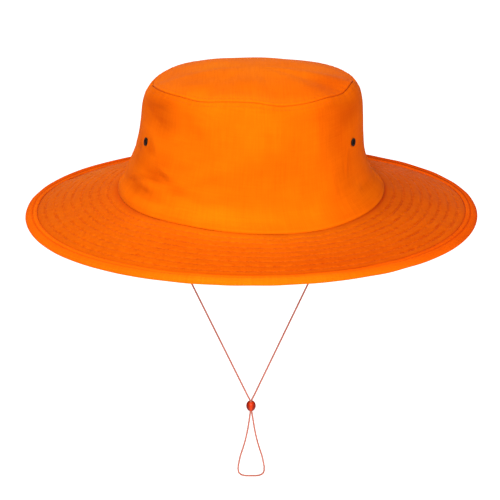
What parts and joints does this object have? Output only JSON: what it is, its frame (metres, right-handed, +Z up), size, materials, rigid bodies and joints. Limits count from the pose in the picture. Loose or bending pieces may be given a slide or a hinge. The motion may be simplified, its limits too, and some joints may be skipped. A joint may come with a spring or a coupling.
{
  "type": "wide-brimmed cricket hat with chin cord",
  "caption": "Cloth sun hat with a soft round crown, stitched wide brim, bound edge, side eyelets and a beaded chin cord, held as worn.",
  "frame": {"origin": "centre of the head opening, level with the seam between crown and brim", "axes": "+Z up out of the crown, front of the hat towards -Y, right side as seen from the front towards +X"},
  "size_m": [0.3015, 0.33, 0.3123],
  "materials": {
    "crown_cloth": "woven cotton",
    "brim_cloth": "woven cotton, stitched in rows",
    "binding_cloth": "woven cotton strip",
    "sweatband_cloth": "plain woven cotton",
    "eyelet_enamel": "black enamel",
    "cord_fibre": "thin round braided cord",
    "bead_plastic": "glossy"
  },
  "bodies": {
    "root": {"crown_front": "crown_cloth", "crown_back": "crown_cloth", "crown_tip": "crown_cloth", "sweatband": "sweatband_cloth", "eyelet_left_front": "eyelet_enamel", "eyelet_left_back": "eyelet_enamel", "eyelet_right_front": "eyelet_enamel", "eyelet_right_back": "eyelet_enamel", "brim": "brim_cloth", "brim_binding": "binding_cloth", "chin_cord": "cord_fibre", "cord_bead": "bead_plastic"}
  },
  "joints": []
}
